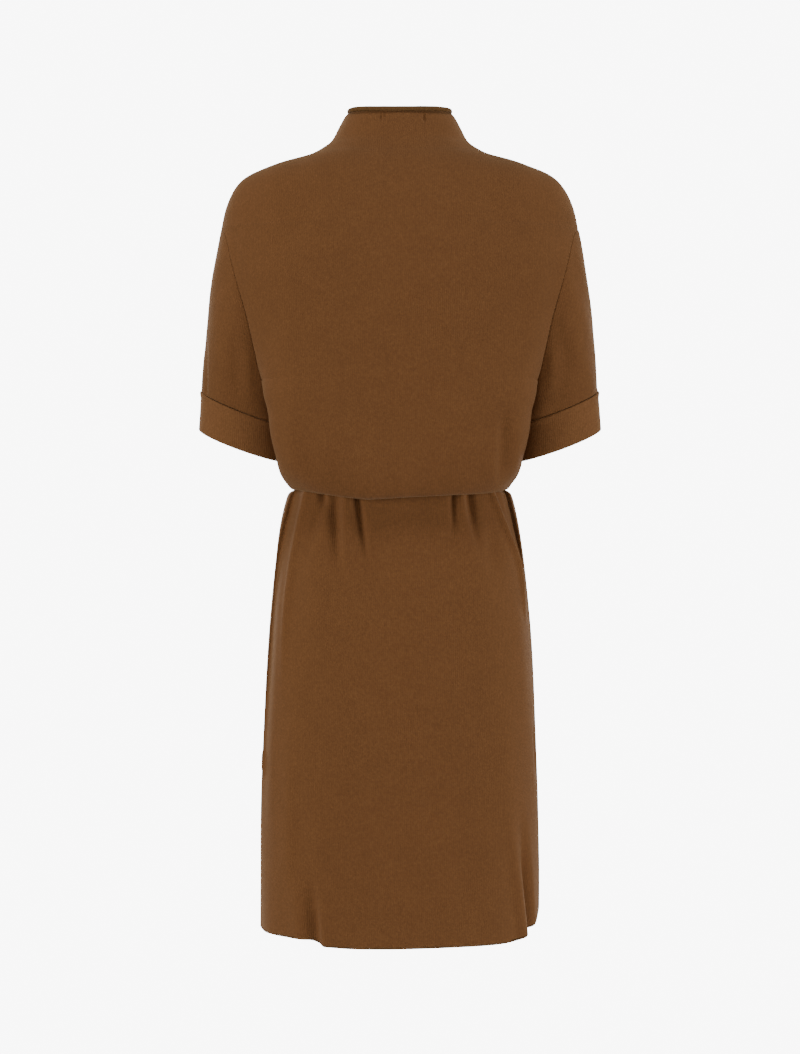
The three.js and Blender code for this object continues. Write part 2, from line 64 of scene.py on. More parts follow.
# Where the two extra rows or columns lie that round an edge
EDGE_ROWS = (0.02, 0.06)
EDGE_COLUMNS = (0.0014, 0.0048)
# How far the columns next to a seam keep their own direction
OWN_SHARES = ((1, 0.2), (2, 0.5))


class Facing(Enum):
    """Which way a piece of the body faces; the value is the sign of Y."""

    BACK = -1
    FRONT = 1


class Hand(Enum):
    """Which arm a piece is for; the value is the sign of X."""

    LEFT = -1
    RIGHT = 1


class Fade(Enum):
    """At which end of its line a crease fades out to nothing."""

    START = "start"
    END = "end"
    BOTH = "both"
    NEITHER = "neither"


class Table:
    """Rows of named sizes, which can be read between the rows."""

    def __init__(self, names: str, *rows: tuple[float, ...]) -> None:
        """Stores the rows.

        Args:
            names: The names of the columns, with spaces between them.
            rows: One tuple of numbers for each row.
        """
        self.columns = dict(zip(names.split(), np.array(rows, float).T))
        self.last = len(rows) - 1

    def at(self, place: Array) -> dict[str, Array]:
        """Reads every column at row numbers that may lie between two rows.

        Each column is a Catmull-Rom curve through its rows: a cubic from one row to the next whose slope
        at a row is half the step from the row before to the row after, with the end rows repeated.

        Args:
            place: Row numbers, from 0 at the first row.

        Returns:
            The values of each column by its name, in the shape of place.
        """
        start = np.clip(np.floor(place).astype(int), 0, self.last - 1)
        along = place - start
        near = [np.clip(start + k, 0, self.last) for k in (-1, 0, 1, 2)]
        made = {}
        for name, values in self.columns.items():
            before, here, ahead, after = (values[k] for k in near)
            slope = ahead - before
            bend = 2 * before - 5 * here + 4 * ahead - after
            twist = 3 * (here - ahead) + after - before
            made[name] = here + 0.5 * along * (slope + along * (bend + along * twist))
        return made


# Neck and shoulders. half: half width at the shoulder line. back, front: depth of the cloth at the
# centre line. line: how far forward the shoulder line lies. past: how far past it the section would be
# widest. square: 2 is an ellipse, and more is squarer.
SHOULDER = Table(
    "z half back front line past square",
    (44, 67.2, 46, 69, 11, 0, 2.0),
    (28, 76.5, 51, 75, 10, 0, 2.0),
    (14, 85, 57, 81, 9, 0, 2.0),
    (5, 96.5, 62, 85, 8, 0, 2.05),
    (-3, 112, 67, 89, 7, 0, 2.05),
    (-10, 134, 72, 92, 5, 0, 2.1),
    (-17.5, 157, 77, 95, 4, 0, 2.1),
    (-25, 176, 81, 97.5, 3, 0, 2.15),
    (-33, 191, 85, 100, 2, 0, 2.15),
    (-42, 201.5, 89, 102, 1, 0, 2.15),
    (-55, 210, 94, 105, 0, 0.5, 2.13),
    (-74, 217.5, 100.4, 108.5, 0, 1, 2.1),
    (-97, 222.6, 106.4, 112.4, 0, 3, 2.07),
)
# The sleeve, from the shoulder point to the cuff's hem. out, z: its outermost line. across, deep: half
# sizes of its oval section. tilt, pitch: degrees that the section's outer and front ends are raised.
# forward: where its middle lies. open: half the angle that the cloth covers.
SLEEVE = Table(
    "z out across deep tilt pitch forward open",
    (-98, 222.8, 44, 49, 8, 0, 0, 7),
    (-103, 224, 46, 51, 9, 0, 0, 30),
    (-114, 226.3, 48, 54, 11, 0, 0, 43),
    (-133, 229.9, 50, 58, 13, 0, 1, 56),
    (-158, 234.2, 52, 61.5, 15, 1, 3, 71),
    (-190, 238.6, 55, 64, 17, 2, 5, 87),
    (-225, 242.5, 56, 65, 18, 4, 8, 101),
    (-255, 245.5, 58, 62, 19.5, 6, 11, 113),
    (-275, 247.2, 59, 57, 20.3, 7, 14, 133),
    (-284, 248, 59.5, 54.5, 20.7, 7.5, 15, 157),
    (-292, 248.6, 60, 52, 21, 8, 16, 180),
    (-298, 249.2, 60.5, 50.5, 21, 9, 18, 180),
    (-304, 249.65, 60.56, 50.2, 20.8, 9.12, 18.37, 180),
    (-314, 250.4, 60.67, 49.7, 20.44, 9.33, 19, 180),
    (-328, 251.4, 60.8, 48.95, 19.95, 9.62, 19.86, 180),
    (-346.4, 252.8, 61, 48, 19.3, 10, 21, 180),
)
UNDERARM_ROW = 10
CUFF_SEAM_ROW = 11
CUFF_HEM_ROW = 15
# The body beside the sleeve, row for row. turn: how far out the body is widest, and bulge: how far it
# stands out past the armhole seam there, for the back and the front.
ARMHOLE = Table(
    "back front turn_back turn_front bulge_back bulge_front square",
    (106.6, 112.6, -3, -3, 0, 0, 2.07),
    (108, 113.9, -10, -14, 0, 0, 2.1),
    (110.8, 116.6, -30, -40, 0, 0, 2.17),
    (114.6, 121.5, -60, -66, 0, 0, 2.28),
    (118.2, 127, -50, -46, 0, 0, 2.35),
    (120.8, 131, -16, -2, 0, 0, 2.4),
    (122.3, 133.2, 20, 38, 0, 0, 2.45),
    (123.2, 133.8, 45, 67, 1, 1, 2.5),
    (123.8, 133.6, 54, 73, 12.6, 10.7, 2.6),
    (124, 133.2, 56, 74, 23.6, 19.4, 2.6),
    (124.2, 132.7, 58, 75, 25.6, 21.3, 2.6),
)
# The body under the arm, the blouse's fold and the cloth inside it. half: half width at its widest.
# side, side_line: where the side seam lies. sag: share of the blouse's sag.
BLOUSE = Table(
    "z half_back half_front back front turn_back turn_front side side_line sag",
    (-350, 159.5, 156, 124.3, 131.5, 59, 74, 132.5, 17, 0),
    (-366, 156, 153.5, 124.6, 130.5, 58, 71, 129.5, 17, 0),
    (-382, 151.6, 149.5, 124.6, 129.5, 54, 64, 129, 15, 0),
    (-394, 149.5, 147.5, 124.2, 128, 46, 52, 133, 11, 0.12),
    (-403, 147, 145.5, 123.3, 126.3, 36, 39, 137, 7, 0.32),
    (-410, 143.4, 142.4, 121.6, 124, 25, 26, 139, 4, 0.55),
    (-416, 139.2, 138.4, 118.4, 120.4, 12, 12, 137.6, 1, 0.8),
    (-420.2, 136.2, 135.8, 113.8, 115.6, 4, 4, 135.6, 0, 0.95),
    (-422, 133.4, 133.4, 108.4, 110, 0, 0, 133.4, 0, 1),
    (-420.2, 130.9, 130.9, 103.4, 104.6, 0, 0, 130.9, 0, 0.92),
    (-415, 130, 130, 99.4, 100, 0, 0, 130, 0, 0.7),
    (-406, 129.8, 129.8, 95, 95.2, 0, 0, 129.8, 0, 0.3),
    (-397, 129.8, 129.8, 92, 92, 0, 0, 129.8, 0, 0),
)
BLOUSE_SQUARE = 2.5
HOLLOW = 1.6  # how flatly the body lies against the sleeve
# The skirt, from the waist channel to the hem
SKIRT = Table(
    "z half back front",
    (-414.4, 128.6, 90.8, 90.8),
    (-421, 130, 92.2, 91.6),
    (-423.8, 134.4, 93.6, 92.6),
    (-426, 137.6, 94, 94),
    (-431, 140.4, 92.2, 96),
    (-446, 144.4, 93.4, 99),
    (-470, 149, 99.8, 102.4),
    (-505, 154, 109.8, 106),
    (-550, 158.8, 117.2, 109),
    (-610, 163.8, 123, 112.4),
    (-690, 168.3, 126.6, 115.4),
    (-790, 171.8, 129.2, 118.2),
    (-890, 173.3, 130.8, 119.8),
    (-973, 173.6, 131.4, 120.4),
)
SKIRT_SQUARE = 2.45


def smooth(share: Array) -> Array:
    """Runs smoothly from 0 to 1: three squares less two cubes of the share, held between 0 and 1."""
    held = np.clip(share, 0, 1)
    return held * held * (3 - 2 * held)


def unit(vectors: Array) -> Array:
    """The vectors scaled to a length of 1."""
    return vectors / np.maximum(np.linalg.norm(vectors, axis=-1, keepdims=True), 1e-12)


def half_sections(
    depth: Array, square: Array, turn: Array, bulge: Array, edge_side: Array, edge_out: Array
) -> Array:
    """Half of each row's horizontal section, from the centre line to the side.

    A superellipse runs from (0, depth) to its widest point, which is turn deep. It is cut where it
    reaches the edge's depth, or it goes on past its widest point and curves in by bulge, as a raised
    cosine wave, to end at the edge.

    Args:
        depth: Depth of the cloth at the centre line, one number for each row as in all the others.
        square: Squareness of the superellipse, where 2 is an ellipse.
        turn: Depth where the section is widest.
        bulge: How far the section stands out past its edge there.
        edge_side: How far sideways the edge lies.
        edge_out: How deep the edge lies.

    Returns:
        Points (sideways, outwards), rows by samples by 2.
    """
    power = (2 / square)[:, None]
    depth, turn, bulge, edge_side, edge_out = (
        values[:, None] for values in (depth, turn, np.maximum(bulge, 0), edge_side, edge_out)
    )
    step = np.linspace(0, 1, SECTION_SAMPLES)[None]
    share = np.clip((edge_out - turn) / (depth - turn), 0, 1)
    last = np.arccos(share ** (1 / power))
    half = np.where(share > 0, edge_side / np.sin(last) ** power, edge_side + bulge)
    sideways = half * np.sin(last * step) ** power
    outwards = turn + (depth - turn) * np.maximum(np.cos(last * step), 0) ** power
    beyond = (share == 0) & (edge_out < turn)
    wave = (0.5 + 0.5 * np.cos(math.pi * step)) ** HOLLOW
    inward = np.where(beyond, edge_side + bulge * wave, sideways[:, -1:])
    back = np.where(beyond, turn - (turn - edge_out) * step, outwards[:, -1:])
    return np.stack([np.hstack([sideways, inward]), np.hstack([outwards, back])], axis=-1)


def along_sections(points: Array, shares: Array) -> tuple[Array, Array]:
    """Points at even shares of each section's length.

    Args:
        points: Sections, rows by samples by 2.
        shares: Shares of a section's length, from 0 to 1.

    Returns:
        The points, rows by shares by 2, and the length of each row's section.
    """
    steps = np.linalg.norm(np.diff(points, axis=1), axis=2)
    lengths = np.hstack([np.zeros((len(points), 1)), np.cumsum(steps, axis=1)])
    total = lengths[:, -1:]
    offset = 2.0 * np.arange(len(points))[:, None]
    known = (lengths / total + offset).ravel()
    asked = (np.broadcast_to(shares, (len(points), len(shares))) + offset).ravel()
    made = [np.interp(asked, known, points[..., k].ravel()) for k in (0, 1)]
    return np.stack(made, axis=-1).reshape(len(points), len(shares), 2), total[:, 0]


@dataclass(frozen=True)
class Crease:
    """A soft ridge or valley that runs along a line on the cloth, in millimetres seen from the back.

    Its height is rise times a bell curve of the distance from the line, times a smooth fade towards
    the ends that fade names, over a share reach of the line. The line can bow to one side, and lean
    makes the bell wider on one side than on the other.
    """

    start: tuple[float, float]
    end: tuple[float, float]
    rise: float
    wide: float
    fade: Fade = Fade.BOTH
    reach: float = 0.35
    bow: float = 0.0
    lean: float = 0.0

    def height(self, x: Array, z: Array) -> Array:
        """Height of the crease over the cloth.

        Args:
            x: Places across.
            z: Places up.

        Returns:
            How far the cloth is moved outwards there.
        """
        run = np.subtract(self.end, self.start)
        length = float(np.hypot(*run))
        ahead = run / length
        along = ((x - self.start[0]) * ahead[0] + (z - self.start[1]) * ahead[1]) / length
        held = np.clip(along, 0, 1)
        beside = (x - self.start[0]) * -ahead[1] + (z - self.start[1]) * ahead[0]
        beside = beside - self.bow * 4 * held * (1 - held)
        wide = self.wide * np.where(beside > 0, 1 + self.lean, 1 - self.lean)
        begin = smooth(along / self.reach) if self.fade in (Fade.START, Fade.BOTH) else along > 0
        finish = smooth((1 - along) / self.reach) if self.fade in (Fade.END, Fade.BOTH) else along < 1
        return self.rise * begin * finish * np.exp(-((beside / wide) ** 2))


def creases(*rows: tuple[Any, ...]) -> tuple[Crease, ...]:
    """Makes creases from rows of values.

    Args:
        rows: For each crease the x and z of its start and of its end, its rise and its width, and
            then as many of its fade, reach, bow and lean as it needs.

    Returns:
        The creases, in the same order.
    """
    return tuple(Crease((x, z), (to_x, to_z), *rest) for x, z, to_x, to_z, *rest in rows)


def relief(lines: tuple[Crease, ...], x: Array, z: Array) -> Array:
    """Height of several creases together over the places x and z."""
    return sum(crease.height(x, z) for crease in lines)


@dataclass(frozen=True)
class Undulation:
    """The slight unevenness of cloth that hangs free: a few long sine waves at seeded angles."""

    height: float = 0.7
    shortest: float = 45.0
    longest: float = 150.0
    waves: int = 9
    steepness: float = 0.5

    def over(self, u: Array, v: Array, seed: int) -> Array:
        """Sum of the waves.

        Args:
            u: Places across the cloth.
            v: Places down the cloth.
            seed: Seed for the waves' lengths, angles and starts.

        Returns:
            How far the cloth is moved outwards there.
        """
        rng = np.random.default_rng(seed)
        total = np.zeros_like(u)
        for _ in range(self.waves):
            length = rng.uniform(self.shortest, self.longest)
            angle = rng.normal(0, self.steepness)
            turn = 2 * math.pi / length
            start = rng.uniform(0, 2 * math.pi)
            total += np.sin(turn * (u * math.cos(angle) + v * math.sin(angle)) + start)
        return self.height * total / math.sqrt(self.waves)


@dataclass
class Cloth:
    """A grid of points on the outer face of a piece of cloth, in millimetres.

    Rows run down and columns run anticlockwise seen from above, so that down crossed with across
    points out. In a ring the last column is next to the first.
    """

    points: Array
    across: Array
    ring: bool = False
    normals: Array = field(init=False)

    def __post_init__(self) -> None:
        """Finds the directions in which the cloth faces."""
        self.face()

    def face(self) -> None:
        """Sets the normals: the cross product of the steps down and across, at a length of 1."""
        down = np.gradient(self.points, axis=0)
        if self.ring:
            across = np.roll(self.points, -1, axis=1) - np.roll(self.points, 1, axis=1)
        else:
            across = np.gradient(self.points, axis=1)
        self.normals = unit(np.cross(down, across))

    def down(self) -> Array:
        """Length down each column, from the first row."""
        steps = np.linalg.norm(np.diff(self.points, axis=0), axis=2)
        return np.vstack([np.zeros((1, steps.shape[1])), np.cumsum(steps, axis=0)])

    def from_sides(self) -> Array:
        """Distance along each row from the nearer of its two ends."""
        steps = np.linalg.norm(np.diff(self.points, axis=1), axis=2)
        lengths = np.hstack([np.zeros((len(steps), 1)), np.cumsum(steps, axis=1)])
        return np.minimum(lengths, lengths[:, -1:] - lengths)

    def raise_by(self, height: Array) -> None:
        """Moves the cloth outwards by height and finds its directions again."""
        self.points = self.points + self.normals * height[..., None]
        self.face()

    def ease(self, share: Array, passes: int) -> None:
        """Smooths the cloth down its columns.

        Args:
            share: How much of each point is smoothed, from 0 to 1.
            passes: How often each point moves by half of its share to the middle of its neighbours.
        """
        for _ in range(passes):
            middle = (self.points[:-2] + self.points[2:]) / 2
            self.points[1:-1] += 0.5 * share[1:-1, :, None] * (middle - self.points[1:-1])
        self.face()

    def part_seams(self) -> None:
        """Draws both ends of each row back by half of the gap at a seam."""
        for end, beside in ((0, 1), (-1, -2)):
            inward = unit(self.points[:, beside] - self.points[:, end])
            self.points[:, end] += inward * SEAM_GAP / 2


def share_normals(first: tuple[Cloth, slice, int], second: tuple[Cloth, slice, int]) -> None:
    """Turns two cloths to face the same way where they are sewn, and eases the columns beside it.

    Args:
        first: A cloth, the rows that are sewn and the column, 0 or -1.
        second: The same for the other cloth.
    """
    together = unit(first[0].normals[first[1], first[2]] + second[0].normals[second[1], second[2]])
    for cloth, rows, column in (first, second):
        inward = 1 if column == 0 else -1
        cloth.normals[rows, column] = together
        for step, own in OWN_SHARES:
            beside = cloth.normals[rows, column + inward * step]
            cloth.normals[rows, column + inward * step] = unit(together * (1 - own) + beside * own)


def edged(values: Array, first: float, second: float) -> Array:
    """Adds two values close to each end, for a rounded edge.

    Args:
        values: Rising values.
        first: Distance of the first added value from the end.
        second: Distance of the second.

    Returns:
        The values with four more among them.
    """
    low = [values[0], values[0] + first, values[0] + second]
    high = [values[-1] - second, values[-1] - first, values[-1]]
    return np.concatenate([low, values[1:-1], high])


def stepped(lengths: Array, step: Array) -> Array:
    """Row numbers that cut each length from one row to the next into even steps.

    Args:
        lengths: Length from each row to the next.
        step: Longest step allowed in each.

    Returns:
        Row numbers, every whole one among them.
    """
    counts = np.maximum(np.ceil(lengths / step), 1).astype(int)
    ends = np.cumsum(counts)
    return np.interp(np.arange(ends[-1] + 1), np.concatenate([[0], ends]), np.arange(len(counts) + 1))


def shell_mesh(name: str, cloth: Cloth, thick: float = CLOTH) -> bpy.types.Object:
    """Makes a closed thin shell from a cloth's outer face.

    The middle of the wall lies half of its thickness under the outer face. The two faces stand off it
    by half of the thickness times the square root of 1 less the square of (1 less the distance from the
    nearest edge over half of the thickness), which rounds every edge, and by a quarter of it at least.

    Args:
        name: Name of the object.
        cloth: The outer face.
        thick: Thickness of the wall in millimetres.

    Returns:
        The mesh object, in metres, with a UV map in metres.
    """
    down = cloth.down()
    from_edge = np.minimum(down, down[-1:] - down)
    if not cloth.ring:
        from_edge = np.minimum(from_edge, cloth.from_sides())
    near = np.clip(from_edge / (thick / 2), 0, 1)
    swell = np.maximum(np.sqrt(1 - (1 - near) ** 2), EDGE_LEFT)[..., None]
    middle = cloth.points - cloth.normals * thick / 2
    outer = middle + cloth.normals * swell * thick / 2
    inner = middle - cloth.normals * swell * thick / 2
    rows, columns = down.shape
    index = np.arange(rows * columns).reshape(rows, columns)
    inside = index + rows * columns
    width = columns if cloth.ring else columns - 1
    out_a, in_a = index[:, :width], inside[:, :width]
    out_b, in_b = (np.roll(face, -1, axis=1)[:, :width] for face in (index, inside))
    quads = [
        (out_a[:-1], out_a[1:], out_b[1:], out_b[:-1]),
        (in_a[:-1], in_b[:-1], in_b[1:], in_a[1:]),
        (out_a[0], out_b[0], in_b[0], in_a[0]),
        (out_b[-1], out_a[-1], in_a[-1], in_b[-1]),
    ]
    if not cloth.ring:
        quads += [
            (index[:-1, 0], inside[:-1, 0], inside[1:, 0], index[1:, 0]),
            (index[:-1, -1], index[1:, -1], inside[1:, -1], inside[:-1, -1]),
        ]
    faces = np.concatenate([np.stack(quad, axis=-1).reshape(-1, 4) for quad in quads])
    places = np.concatenate([outer.reshape(-1, 3), inner.reshape(-1, 3)])
    flat = np.stack([cloth.across, -down], axis=-1).reshape(-1, 2)
    return mesh_object(name, places, faces, np.concatenate([flat, flat]))


def mesh_object(name: str, points: Array, faces: Array, flat: Array) -> bpy.types.Object:
    """Puts points, four-sided faces and a UV map into a smooth mesh object.

    Args:
        name: Name of the object.
        points: Points in millimetres.
        faces: Four point numbers for each face.
        flat: Where each point lies on the flat cloth, in millimetres.

    Returns:
        The object, linked to the scene.
    """
    mesh = bpy.data.meshes.new(name)
    mesh.vertices.add(len(points))
    mesh.vertices.foreach_set("co", (points * MILLIMETRE).astype(np.float32).ravel())
    mesh.loops.add(faces.size)
    mesh.loops.foreach_set("vertex_index", faces.astype(np.int32).ravel())
    mesh.polygons.add(len(faces))
    mesh.polygons.foreach_set("loop_start", np.arange(0, faces.size, 4, dtype=np.int32))
    mesh.update(calc_edges=True)
    mesh.validate()
    mesh.polygons.foreach_set("use_smooth", np.ones(len(mesh.polygons), dtype=bool))
    layer = mesh.uv_layers.new(name="cut")
    corners = np.empty(len(mesh.loops), dtype=np.int32)
    mesh.loops.foreach_get("vertex_index", corners)
    layer.data.foreach_set("uv", (flat[corners] * MILLIMETRE).astype(np.float32).ravel())
    made = bpy.data.objects.new(name, mesh)
    bpy.context.collection.objects.link(made)
    return made


def linear(colour: int) -> tuple[float, float, float, float]:
    """Linear red, green, blue and alpha of an sRGB colour such as 0x6b4524."""
    parts = [((colour >> shift) & 255) / 255 for shift in (16, 8, 0)]
    made = [p / 12.92 if p <= 0.04045 else ((p + 0.055) / 1.055) ** 2.4 for p in parts]
    return (*made, 1.0)


def add_node(tree: Any, kind: str, settings: dict[str, Any], inputs: dict[Any, Any]) -> Any:
    """Adds a node, and sets or links its inputs.

    Args:
        tree: The node tree.
        kind: The node's type.
        settings: Its properties.
        inputs: By name or number, a value, or another node's output to link from.

    Returns:
        The node.
    """
    node = tree.nodes.new(kind)
    for key, value in settings.items():
        setattr(node, key, value)
    for key, value in inputs.items():
        if isinstance(value, bpy.types.NodeSocket):
            tree.links.new(value, node.inputs[key])
        else:
            node.inputs[key].default_value = value
    return node


@dataclass(frozen=True)
class Noise:
    """A noise texture over the object, with its scale in waves to a metre."""

    scale: float
    detail: float
    roughness: float = 0.5

    def add(self, tree: Any) -> Any:
        """Adds its nodes to a tree and returns the output."""
        place = add_node(tree, "ShaderNodeTexCoord", {}, {}).outputs["Object"]
        inputs = {"Vector": place, "Scale": self.scale, "Detail": self.detail, "Roughness": self.roughness}
        return add_node(tree, "ShaderNodeTexNoise", {}, inputs).outputs["Fac"]


@dataclass(frozen=True)
class KnitFinish:
    """Fine-gauge plain knit in a brown melange wool blend, machine knitted.

    The light and dark fibres are spun together, so that the colour is mottled from stitch to stitch.
    Columns of V-shaped stitches stand up as fine ribs. The fibres scatter light, so it has no gloss,
    and a little sheen shows where it is seen edge on. A wale is really about 1.1 mm wide and a course
    0.9 mm high, and both are drawn about twice as coarse, so that they show.

    wander bends the wales by up to wander_by of one. vee is how much of a course the sides of a V
    lag behind its middle, and loop is the share of a stitch's height that the V takes. fuzz is the
    loose fibres, fleck the melange, and drift its slow change over the cloth. The colour is also made
    darker where a stitch is low, which is painted shade between the wales and in each loop.
    """

    name: str
    dark: int = 0x644021
    base: int = 0x6B4524
    light: int = 0x724B29
    wale: float = 2.3
    course: float = 1.9
    depth: float = 0.32
    roughness: float = 0.92
    sheen: float = 0.32
    turned: bool = False
    wander: Noise = Noise(70.0, 1.0)
    wander_by: float = 1.4
    vee: float = 0.55
    loop: float = 0.22
    fuzz: Noise = Noise(520.0, 3.0, 0.65)
    fuzz_height: float = 0.9
    fleck: Noise = Noise(330.0, 4.0, 0.7)
    drift: Noise = Noise(38.0, 3.0, 0.6)
    drift_share: float = 0.18
    painted_groove_shade: float = 0.16
    darker: float = 0.11
    stops: tuple[float, float] = (0.34, 0.66)

    def material(self) -> bpy.types.Material:
        """Makes the material.

        The height of a stitch is 1 less the square of the distance from its wale's middle, times a sine
        wave down the cloth that starts later towards the wale's sides, which draws the V.

        Returns:
            The material.
        """
        made = bpy.data.materials.new(self.name)
        made.use_nodes = True
        tree = made.node_tree
        tree.nodes.clear()

        def math_node(operation: str, *values: Any) -> Any:
            """Adds a Math node and returns its output."""
            node = add_node(tree, "ShaderNodeMath", {"operation": operation}, dict(enumerate(values)))
            return node.outputs[0]

        cut = add_node(tree, "ShaderNodeUVMap", {"uv_map": "cut"}, {})
        split = add_node(tree, "ShaderNodeSeparateXYZ", {}, {0: cut.outputs["UV"]})
        across, down = split.outputs["X"], split.outputs["Y"]
        if self.turned:
            across, down = down, across
        wobble = math_node("MULTIPLY", self.wander.add(tree), self.wander_by)
        wales = math_node("MULTIPLY_ADD", across, 1000 / self.wale, wobble)
        beside = math_node("MULTIPLY_ADD", math_node("FRACT", wales), 2.0, -1.0)
        beside = math_node("ABSOLUTE", beside)
        rib = math_node("SUBTRACT", 1.0, math_node("MULTIPLY", beside, beside))
        courses = math_node("MULTIPLY", down, 1000 / self.course)
        turns = math_node("MULTIPLY_ADD", beside, self.vee, courses)
        loop = math_node("SINE", math_node("MULTIPLY", turns, 2 * math.pi))
        loop = math_node("MULTIPLY_ADD", loop, self.loop, 1 - self.loop)
        stitch = math_node("MULTIPLY", rib, loop)
        height = math_node("MULTIPLY_ADD", self.fuzz.add(tree), self.fuzz_height, stitch)
        fleck = math_node("MULTIPLY", self.fleck.add(tree), 1 - self.drift_share)
        blend = math_node("MULTIPLY_ADD", self.drift.add(tree), self.drift_share, fleck)
        blend = math_node("SUBTRACT", blend, self.darker)
        # painted shade: the colour is darker where the stitch is low, between the wales and in each loop's
        # dip
        shade = math_node("MULTIPLY_ADD", stitch, self.painted_groove_shade, blend)
        colour = add_node(tree, "ShaderNodeValToRGB", {}, {"Fac": shade})
        stops = colour.color_ramp.elements
        for stop, place, shown in zip(stops, self.stops, (self.dark, self.light)):
            stop.position = place
            stop.color = linear(shown)
        stops.new(0.5).color = linear(self.base)
        relieved = {"Strength": 0.7, "Distance": self.depth * MILLIMETRE, "Height": height}
        bump = add_node(tree, "ShaderNodeBump", {}, relieved)
        cloth = add_node(
            tree,
            "ShaderNodeBsdfPrincipled",
            {},
            {
                "Base Color": colour.outputs["Color"],
                "Roughness": self.roughness,
                "IOR": 1.45,
                "Specular IOR Level": 0.25,
                "Sheen Weight": self.sheen,
                "Sheen Roughness": 0.45,
                "Sheen Tint": linear(0xD8B48A),
                "Normal": bump.outputs["Normal"],
            },
        )
        add_node(tree, "ShaderNodeOutputMaterial", {}, {"Surface": cloth.outputs["BSDF"]})
        return made


def sleeve_surface(place: Array, around: Array, hand: Hand) -> Array:
    """Points of a sleeve's outer face.

    The section is an oval about a middle line. It starts at its outermost point, goes across by across
    times 1 less the cosine of the angle and ahead by deep times its sine, and is tilted and pitched.

    Args:
        place: Row numbers of the sleeve's table.
        around: -1 at the back armhole seam, 0 at the outermost line, 1 at the front one.
        hand: Which arm.

    Returns:
        Points, places by arounds by 3.
    """
    row = {name: values[:, None] for name, values in SLEEVE.at(place).items()}
    angle = np.radians(np.minimum(row["open"], 180)) * around[None]
    inward = row["across"] * (1 - np.cos(angle))
    ahead = row["deep"] * np.sin(angle)
    tilt, pitch = np.radians(row["tilt"]), np.radians(row["pitch"])
    x = row["out"] - inward * np.cos(tilt)
    y = row["forward"] + ahead * np.cos(pitch)
    z = row["z"] - inward * np.sin(tilt) + ahead * np.sin(pitch)
    return np.stack([hand.value * x, y, z], axis=-1)


def dress_cloth(piece: bpy.types.Object, material: bpy.types.Material, node: str) -> None:
    """Gives a piece its material, hides the CAD part that it stands for, and lets it move with the dress.
    """
    piece.data.materials.append(material)
    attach(piece, "root")
    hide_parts(node)
    LOG.info("%s: %d faces", piece.name, len(piece.data.polygons))


